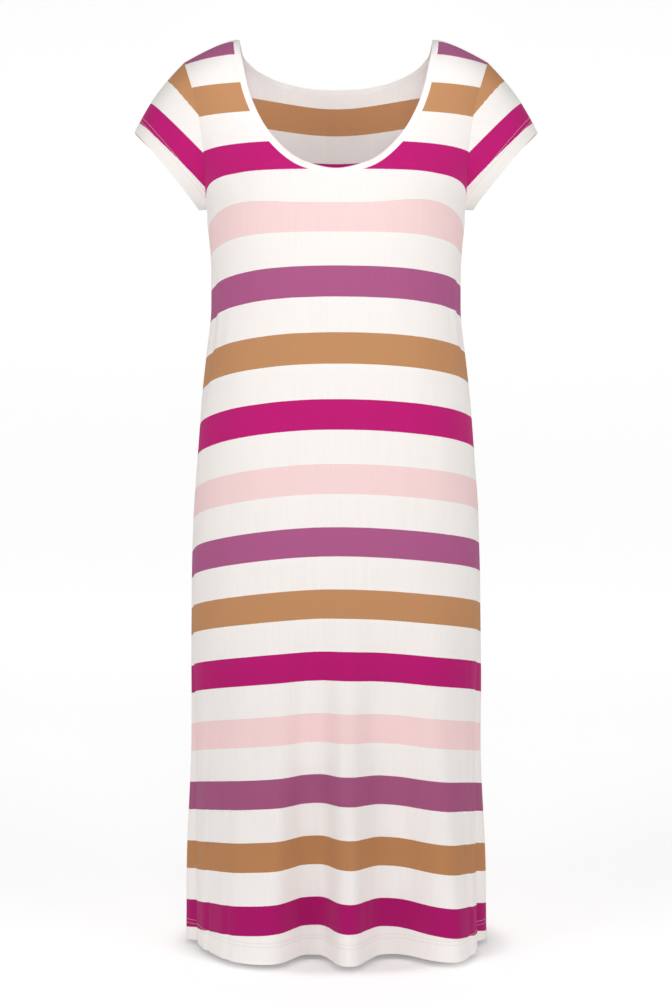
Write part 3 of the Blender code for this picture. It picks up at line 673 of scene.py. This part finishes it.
def jersey(name, striped=True, hem_turn=None, skirt=False):
    """Matt fine jersey: knit loops, a slight heather, and where striped the four colours in turn."""
    finish = Finish(name, JERSEY_ROUGHNESS)
    shader, node, link, maths = finish.shader, finish.node, finish.link, finish.maths
    shader.inputs["Sheen Weight"].default_value = JERSEY_SHEEN
    shader.inputs["Sheen Roughness"].default_value = SHEEN_ROUGHNESS
    shader.inputs["Specular IOR Level"].default_value = JERSEY_SPECULAR
    down = finish.attribute("from_hem")
    around = finish.attribute("around")
    cloth = node("ShaderNodeCombineXYZ")
    link(around, cloth.inputs[0])
    link(down, cloth.inputs[1])
    heather = finish.noise(HEATHER, place=cloth.outputs[0])
    stretched = node("ShaderNodeMapping")
    stretched.inputs["Scale"].default_value = STREAKS
    link(cloth.outputs[0], stretched.inputs["Vector"])
    streaks = finish.noise(1.0, detail=3.0, place=stretched.outputs[0])

    shade = maths("MULTIPLY", streaks, STREAK_SHADE)
    shade = maths("ADD", shade, maths("MULTIPLY", heather, HEATHER_SHADE))
    shade = maths("ADD", shade, LEAST_SHADE)
    # Each row of hem stitching gets a painted shade along it, for the groove it pulls in the cloth.
    if hem_turn:
        rows = [maths("ABSOLUTE", maths("SUBTRACT", down, hem_turn - gap)) for gap in (0, NEEDLE_GAP)]
        painted_needle_shade = finish.fade(maths("MINIMUM", *rows), 0.0, NEEDLE_SHADE_REACH, NEEDLE_PAINTED_SHADE, 1.0)
        shade = maths("MULTIPLY", shade, painted_needle_shade)
    dyed = node("ShaderNodeVectorMath", operation="SCALE")
    dyed.inputs[0].default_value = BINDING_WHITE
    link(shade, dyed.inputs["Scale"])
    if striped:
        fuzz = maths("MULTIPLY", maths("SUBTRACT", heather, 0.5), STRIPE_FUZZ)
        turn = maths("FLOORED_MODULO", maths("ADD", finish.attribute("stripe"), fuzz), len(DYES))
        colour = stripe_colours(finish, turn, "above")
        # On the skirt the stripes blend into their copies near the hem, as painted shade low on the skirt.
        if skirt:
            both = node("ShaderNodeMixRGB")
            link(finish.fade(down, PAINTED_SHADE_FROM_BELOW, PAINTED_SHADE_FULL_BELOW, 0.0, 1.0), both.inputs["Fac"])
            link(colour, both.inputs["Color1"])
            link(stripe_colours(finish, turn, "at_hem"), both.inputs["Color2"])
            colour = both.outputs["Color"]
        link(colour, dyed.inputs[0])
    link(dyed.outputs[0], shader.inputs["Base Color"])

    wale = maths("SINE", maths("MULTIPLY", around, 2 * np.pi / WALE))
    lean = maths("MULTIPLY", maths("ABSOLUTE", wale), COURSE_LEAN * COURSE)
    course = maths("SINE", maths("MULTIPLY", maths("ADD", down, lean), 2 * np.pi / COURSE))
    knit = maths("ADD", maths("MULTIPLY", wale, WALE_DEPTH), maths("MULTIPLY", course, COURSE_DEPTH))
    bump = node("ShaderNodeBump")
    bump.inputs["Strength"].default_value = KNIT_STRENGTH
    bump.inputs["Distance"].default_value = KNIT_DEPTH
    link(maths("ADD", knit, maths("MULTIPLY", heather, FUZZ_DEPTH)), bump.inputs["Height"])
    link(bump.outputs["Normal"], shader.inputs["Normal"])
    return finish.material


striped_jersey = jersey("striped_jersey", hem_turn=HEM_TURN, skirt=True)
front_wall = panel_wall(NECK_FRONT, FRONT_STEEPNESS, back=False)
front_cloth = cloth_body("front_cloth", front_wall, striped_jersey)
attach(front_cloth, "root")
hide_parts("front_panel")

# ================================================================ the back
# The same jersey, cut with a shallow neck and sewn to the front at the shoulders and sides.
NECK_BACK = (
    NeckPoint(0.1310, 0.000),
    NeckPoint(0.1295, 0.030),
    NeckPoint(0.1150, 0.0585),
    NeckPoint(0.0860, 0.0785),
    NeckPoint(0.0580, 0.0885),
    NeckPoint(0.0295, 0.0937),
    NeckPoint(0.0000, 0.0948),
)
BACK_STEEPNESS = 0.2         # how much the back neck's run down counts in sharing out its columns

back_wall = panel_wall(NECK_BACK, BACK_STEEPNESS, back=True)
back_cloth = cloth_body("back_cloth", back_wall, striped_jersey)
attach(back_cloth, "root")
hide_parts("back_panel")

# ================================================================ the sleeves
# Two short set-in sleeves of the same jersey, sewn into the armholes and open at the end, where each is
# turned up and hemmed with two rows of stitching.
CUFF_TOP = (0.2574, -0.1160)      # x and height of the sleeve opening's upper end
CUFF_BOTTOM = (0.1760, -0.2140)   # x and height of its lower end
CUFF_DEPTH = 0.090           # the sleeve opening, front to back
CUFF_LEAN = 0.0075           # how far the back of the opening leans in towards the shoulder
SLEEVE_CROWN = 0.0050        # how far the sleeve's top line bows out
SLEEVE_SWELL = 0.0030        # the same at the front and back of the sleeve
SLEEVE_RINGS = 26
SLEEVE_HEM_TURN = 0.019
ABOVE_CUFF = 0.3             # the stripes' rise goes on this far above the opening, as a share of it
# Where the sleeve's stripes start and end, up from its hem, and how much that rises towards the underarm.
SleeveStripe = namedtuple("SleeveStripe", "count up rise")
SLEEVE_STRIPES = (
    SleeveStripe(-0.30, -0.005, 0.000),
    SleeveStripe(STRIPE_SHARE - 1, 0.013, 0.011),
    SleeveStripe(-1.00, 0.040, 0.010),
    SleeveStripe(STRIPE_SHARE - 2, 0.073, -0.002),
    SleeveStripe(-1.97, 0.125, -0.008),
)


def joined(front_edge, back_edge):
    """One closed loop from an edge of the front and the matching edge of the back."""
    first = (front_edge[:1] + back_edge[:1]) / 2
    last = (front_edge[-1:] + back_edge[-1:]) / 2
    return np.concatenate([first, front_edge[1:-1], last, back_edge[-2:0:-1]])


def run_along(points):
    """How far along a run of points each of them lies."""
    lengths = np.linalg.norm(np.diff(points, axis=0), axis=-1)
    return np.concatenate([[0], np.cumsum(lengths)])


def away(edge, normals):
    """Unit steps square to an edge and lying in the cloth."""
    return unit(np.cross(normals, np.gradient(edge, axis=0)))


def sleeve_wall(side):
    column = -1 if side > 0 else 0
    edges = []
    for wall, way in ((front_wall, side), (back_wall, -side)):
        edge = wall.outer[:ROWS_YOKE + 1, column]
        lining = wall.inner[:ROWS_YOKE + 1, column]
        step = away(edge, wall.normals[:ROWS_YOKE + 1, column]) * way * SEAM_GAP
        edges.append((edge + step, lining + step))
    start = joined(edges[0][0], edges[1][0])
    start_inner = joined(edges[0][1], edges[1][1])
    run = run_along(np.concatenate([start, start[:1]]))
    half = run[ROWS_YOKE]
    turn = np.pi * np.where(run <= half, run / half, 1 + (run - half) / (run[-1] - half))[:-1]
    top = np.array([side * CUFF_TOP[0], 0.0, CUFF_TOP[1]])
    bottom = np.array([side * CUFF_BOTTOM[0], 0.0, CUFF_BOTTOM[1]])
    forward = np.array([0.0, -CUFF_DEPTH / 2, 0.0])
    cuff = (top + bottom) / 2 + np.cos(turn)[:, None] * (top - bottom) / 2
    cuff = cuff + np.sin(turn)[:, None] * forward
    down_cuff = unit(bottom - top)
    up = np.array([down_cuff[2], 0.0, -down_cuff[0]]) * side
    cuff = cuff + np.minimum(np.sin(turn), 0)[:, None] ** 2 * CUFF_LEAN * up
    top_line = unit(top - start[0])
    crown = np.array([-side * top_line[2], 0.0, side * top_line[0]])
    rings = []
    for i in range(SLEEVE_RINGS + 1):
        step = i / SLEEVE_RINGS
        bow = np.sin(np.pi * step)
        ring = start + (cuff - start) * step
        ring = ring + bow * SLEEVE_CROWN * np.maximum(np.cos(turn), 0)[:, None] * crown
        ring = ring + bow * SLEEVE_SWELL * np.sin(turn)[:, None] * np.array([0.0, -1.0, 0.0])
        rings.append(ring)
    outer = np.array(rings)
    around = np.roll(outer, -1, axis=1) - np.roll(outer, 1, axis=1)
    normals = unit(np.cross(around, np.gradient(outer, axis=0))) * side
    inner = outer - normals * THICKNESS
    inner[0] = start_inner
    distance = (outer - cuff) @ up
    across = (outer - top) @ down_cuff / np.linalg.norm(bottom - top)
    stripes = np.full(distance.shape, SLEEVE_STRIPES[0].count)
    for lower, upper in zip(SLEEVE_STRIPES, SLEEVE_STRIPES[1:]):
        low, high = (s.up + s.rise * np.clip(across, -ABOVE_CUFF, 1) for s in (lower, upper))
        share = (distance - low) / (high - low)
        count = lower.count + (upper.count - lower.count) * np.minimum(share, 1)
        stripes = np.where(share >= 0, count, stripes)
    return Wall(outer, inner, normals, stripes, distance)


sleeves = {}
sleeve_jersey = jersey("sleeve_jersey", hem_turn=SLEEVE_HEM_TURN)
for name, side in (("sleeve_left", 1), ("sleeve_right", -1)):
    wall = sleeve_wall(side)
    sleeve = cloth_body(name + "_cloth", wall, sleeve_jersey, tube=True)
    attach(sleeve, "root")
    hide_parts(name)
    sleeves[name] = (sleeve, wall)

# ================================================================ the neck binding
# A narrow strip of plain off-white jersey, folded over the neck edge all round and sewn down.
BINDING_SWELL = 0.0004
ON_RIDGE = 0.0005            # a place this near the shoulder's top line counts as lying on it
# The binding's section: distance in from the seam, and how much of the swell it has there.
BINDING_ROLL = ((0.0, 0.0), (0.0010, 0.7), (0.0025, 1.0), (0.0055, 1.0), (0.0070, 0.75), (0.0080, -0.3))


def binding_wall():
    """The binding's cloth, from the panels' neck edges to its finished edge."""
    neck = slice(COLUMNS_SHOULDER, COLUMNS_SHOULDER + 2 * COLUMNS_NECK + 1)
    edges = []
    for wall, points, steepness, way in (
        (front_wall, NECK_FRONT, FRONT_STEEPNESS, 1),
        (back_wall, NECK_BACK, BACK_STEEPNESS, -1),
    ):
        x, down = top_edge(points, steepness)
        edge = wall.outer[0, neck]
        step = away(edge, wall.normals[0, neck]) * way * SEAM_GAP
        flat = np.stack([x, -way * down], axis=-1)[neck]
        edges.append((edge + step, wall.inner[0, neck] + step, flat))
    flat = np.concatenate([edges[0][2], edges[1][2][-2:0:-1]])
    along = np.roll(flat, -1, axis=0) - np.roll(flat, 1, axis=0)
    inward = unit(np.stack([-along[:, 1], along[:, 0]], axis=-1))
    outer = []
    inner = []
    for distance, swell in BINDING_ROLL:
        place = flat + inward * distance
        point = yoke_point(place[:, 0], place[:, 1])
        normal = yoke_normal(point, place[:, 1] > 0)
        on_ridge = np.abs(place[:, 1]) < ON_RIDGE
        normal[on_ridge] = ridge_normal(place[on_ridge, 0])
        outer.append(point + normal * swell * BINDING_SWELL)
        inner.append(point - normal * (THICKNESS + swell * BINDING_SWELL))
    outer[0] = joined(edges[0][0], edges[1][0])
    inner[0] = joined(edges[0][1], edges[1][1])
    across = np.array([distance for distance, _ in BINDING_ROLL])[:, None] + 0 * flat[:, 0]
    return Wall(np.array(outer), np.array(inner), None, 0 * across, across)


plain_jersey = jersey("plain_jersey", striped=False)
binding = cloth_body("neck_binding_cloth", binding_wall(), plain_jersey, tube=True)
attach(binding, "root")
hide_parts("neck_binding")

# ================================================================ the stitching
# Two close rows of off-white thread hold the turned hem of the skirt and each sleeve.
STITCH = 0.0030              # from one stitch to the next
STITCH_GAP = 0.0009          # between two stitches
THREAD = 0.00022             # half the thread's thickness
THREAD_PROUD = 0.3           # how far its middle stands off the cloth, as a share of that
# That half thickness at each share of a stitch's length, in shares of itself.
STITCH_SHAPE = ((0.0, 0.25), (0.2, 0.9), (0.5, 1.0), (0.8, 0.9), (1.0, 0.25))
THREAD_SIDES = 6
THREAD_SHADES = ((0.80, 0.74, 0.70, 1), (0.92, 0.88, 0.85, 1))
THREAD_MOTTLING = 1400.0     # how finely the two are mixed
THREAD_ROUGHNESS = 0.7
AHEAD = 1e-4                 # distance over which a row's direction is measured


def thread_material():
    """Off-white sewing thread, faintly mottled."""
    finish = Finish("thread", THREAD_ROUGHNESS)
    ramp = finish.node("ShaderNodeValToRGB")
    for stop, shade in zip(ramp.color_ramp.elements, THREAD_SHADES):
        stop.color = shade
    finish.link(finish.noise(THREAD_MOTTLING), ramp.inputs["Fac"])
    finish.link(ramp.outputs["Color"], finish.shader.inputs["Base Color"])
    return finish.material


def read_at(distance, run, points):
    """The point at a distance along a run of points."""
    return np.array([np.interp(distance, run, points[:, axis]) for axis in range(3)])


def row_at(wall, up, closed):
    """Points and normals along the row of cloth that lies a distance up from the hem."""
    count = wall.outer.shape[1]
    columns = np.arange(count + closed) % count
    points = [read_at(up, wall.from_hem[::-1, j], wall.outer[::-1, j]) for j in columns]
    outward = [read_at(up, wall.from_hem[::-1, j], wall.normals[::-1, j]) for j in columns]
    return np.array(points), np.array(outward)


def stitch_row(bm, points, outward):
    """Short rounded stitches along a line of points, part sunk in the cloth."""
    run = run_along(points)
    for k in range(int(run[-1] / STITCH)):
        rings = []
        for share, girth in STITCH_SHAPE:
            at = k * STITCH + STITCH_GAP / 2 + share * (STITCH - STITCH_GAP)
            place = read_at(at, run, points)
            ahead = read_at(at + AHEAD, run, points)
            up = unit(read_at(at, run, outward))
            across = np.cross(unit(ahead - place), up)
            ring = []
            for turn in np.arange(THREAD_SIDES) * 2 * np.pi / THREAD_SIDES:
                offset = (np.cos(turn) * across + np.sin(turn) * up) * THREAD * girth
                ring.append(bm.verts.new(place + up * THREAD * THREAD_PROUD + offset))
            rings.append(ring)
        for one, two in zip(rings, rings[1:]):
            for m in range(THREAD_SIDES):
                n = (m + 1) % THREAD_SIDES
                bm.faces.new((one[m], one[n], two[n], two[m]))
        bm.faces.new(rings[0][::-1])
        bm.faces.new(rings[-1])


def stitching(name, wall, hem_turn, closed=False):
    """The two rows that hold a wall's turned hem."""
    bm = bmesh.new()
    for gap in (0, NEEDLE_GAP):
        stitch_row(bm, *row_at(wall, hem_turn - gap, closed))
    bmesh.ops.recalc_face_normals(bm, faces=bm.faces)
    mesh = bpy.data.meshes.new(name)
    bm.to_mesh(mesh)
    bm.free()
    mesh.shade_smooth()
    mesh.materials.append(thread)
    piece = add_object(name, mesh)
    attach(piece, "root")
    return piece


thread = thread_material()
for name, wall in (("front", front_wall), ("back", back_wall)):
    stitching(name + "_hem_stitching", wall, HEM_TURN)
for name, (sleeve, wall) in sleeves.items():
    stitching(name + "_hem_stitching", wall, SLEEVE_HEM_TURN, closed=True)

# ================================================================ the studio
# A plain pale floor that curves up far behind, in soft light from all round. Two broad lamps at the sides
# and a smaller one in front bring out the folds, and a narrow beam reaches in through the neck.
HEM_CLEARANCE = 0.006        # the hem hangs just off the floor
FLOOR_HEIGHT = HEM_HEIGHT - HEM_CLEARANCE
FLOOR_FRONT = -6.0
FLOOR_HALF_WIDTH = 9.0
SWEEP_START = 5.0            # the floor curves up from here
SWEEP_RADIUS = 2.0
SWEEP_STEPS = 24
WALL_HEIGHT = 7.0
PAPER = (0.80, 0.80, 0.80, 1)
PAPER_ROUGHNESS = 0.95
# The floor glows, as painted light, so that it is white behind the dress: from nothing just in front of
# what the picture shows to its full glow, then a little more far off. Under the hem it glows less: a
# painted shadow.
GLOW = 0.50
GLOW_STARTS = (-0.37, -0.28)
FAR_GLOW = 1.11              # as a share of the full glow
FAR_STARTS = (0.1, 1.8)
PAINTED_SHADOW = 0.45                # the share of the glow that is left at the hem
PAINTED_SHADOW_HALF_SIZE = (0.195, 0.150)
PAINTED_SHADOW_SHIFT = -0.03         # towards the wearer's left, as a share of that half size
PAINTED_SHADOW_EDGE = (0.90, 1.17)   # where the painted shadow starts to fade and ends, as shares of it too
SKY = (1.0, 0.995, 0.99, 1)
SKY_STRENGTH = 0.36
CAMERA_DISTANCE = 2.05
CAMERA_HEIGHT = -0.590
CAMERA_LENS = 57.25
CAMERA_FILM = 36.0
# Where each lamp stands and points, its width and height, its watts and how many degrees its beam opens.
Lamp = namedtuple("Lamp", "name place aim size watts opening")
LAMPS = (
    Lamp("left", (-1.70, -1.60, -0.05), (0.0, 0.0, -0.32), (1.0, 1.2), 4.80, 100),
    Lamp("right", (1.70, -1.60, -0.05), (0.0, 0.0, -0.20), (1.0, 1.2), 4.30, 100),
    Lamp("front", (0.10, -2.30, -0.22), (0.0, 0.0, -0.28), (0.7, 0.5), 3.35, 75),
    Lamp("neck", (0.0, -2.30, -0.60), (0.0, 0.0, 0.02), (0.1, 0.1), 0.10, 12),
)


def paper():
    finish = Finish("paper", PAPER_ROUGHNESS)
    finish.shader.inputs["Base Color"].default_value = PAPER
    finish.shader.inputs["Emission Color"].default_value = (1, 1, 1, 1)
    place = finish.node("ShaderNodeTexCoord").outputs["Object"]
    apart = finish.node("ShaderNodeSeparateXYZ")
    finish.link(place, apart.inputs[0])
    glow = finish.fade(apart.outputs["Y"], *GLOW_STARTS, 0.0, GLOW)
    far = finish.fade(apart.outputs["Y"], *FAR_STARTS, 1.0, FAR_GLOW)
    from_dress = finish.node("ShaderNodeVectorMath", operation="MULTIPLY_ADD")
    finish.link(place, from_dress.inputs[0])
    from_dress.inputs[1].default_value = (1 / PAINTED_SHADOW_HALF_SIZE[0], 1 / PAINTED_SHADOW_HALF_SIZE[1], 0)
    from_dress.inputs[2].default_value = (PAINTED_SHADOW_SHIFT, 0, 0)
    reach = finish.node("ShaderNodeVectorMath", operation="LENGTH")
    finish.link(from_dress.outputs["Vector"], reach.inputs[0])
    # Less glow round the hem: the painted shadow.
    shadow = finish.fade(reach.outputs["Value"], *PAINTED_SHADOW_EDGE, PAINTED_SHADOW, 1.0)
    glow = finish.maths("MULTIPLY", finish.maths("MULTIPLY", glow, far), shadow)
    finish.link(glow, finish.shader.inputs["Emission Strength"])
    return finish.material


def studio_floor():
    profile = [(FLOOR_FRONT, 0.0), (SWEEP_START, 0.0)]
    for turn in np.linspace(0, np.pi / 2, SWEEP_STEPS):
        profile.append((SWEEP_START + SWEEP_RADIUS * np.sin(turn), SWEEP_RADIUS * (1 - np.cos(turn))))
    profile.append((SWEEP_START + SWEEP_RADIUS, WALL_HEIGHT))
    sides = (-FLOOR_HALF_WIDTH, FLOOR_HALF_WIDTH)
    verts = [(x, y, FLOOR_HEIGHT + up) for y, up in profile for x in sides]
    faces = [(2 * i, 2 * i + 1, 2 * i + 3, 2 * i + 2) for i in range(len(profile) - 1)]
    mesh = bpy.data.meshes.new("floor")
    mesh.from_pydata(verts, [], faces)
    mesh.shade_smooth()
    mesh.materials.append(paper())
    return add_object("floor", mesh)


def area_light(name, place, aim, size, watts, opening):
    lamp = bpy.data.lights.new(name, "AREA")
    lamp.shape = "RECTANGLE"
    lamp.size, lamp.size_y = size
    lamp.energy = watts
    lamp.spread = np.radians(opening)
    made = add_object(name, lamp)
    made.location = place
    facing = np.array(aim) - np.array(place)
    yaw = np.arctan2(-facing[0], facing[1])
    tilt = np.arctan2(np.hypot(facing[0], facing[1]), -facing[2])
    made.rotation_euler = (tilt, 0.0, yaw)


floor = studio_floor()
for lamp in LAMPS:
    area_light(*lamp)
world = bpy.data.worlds.new("studio")
world.use_nodes = True
background = world.node_tree.nodes["Background"]
background.inputs["Color"].default_value = SKY
background.inputs["Strength"].default_value = SKY_STRENGTH
bpy.context.scene.world = world
bpy.context.scene.view_settings.view_transform = "Standard"

lens = bpy.data.cameras.new("camera")
lens.sensor_fit = "VERTICAL"
lens.sensor_height = CAMERA_FILM
lens.lens = CAMERA_LENS
camera = add_object("camera", lens)
camera.location = (0.0, -CAMERA_DISTANCE, CAMERA_HEIGHT)
camera.rotation_euler = (np.pi / 2, 0.0, 0.0)
bpy.context.scene.camera = camera
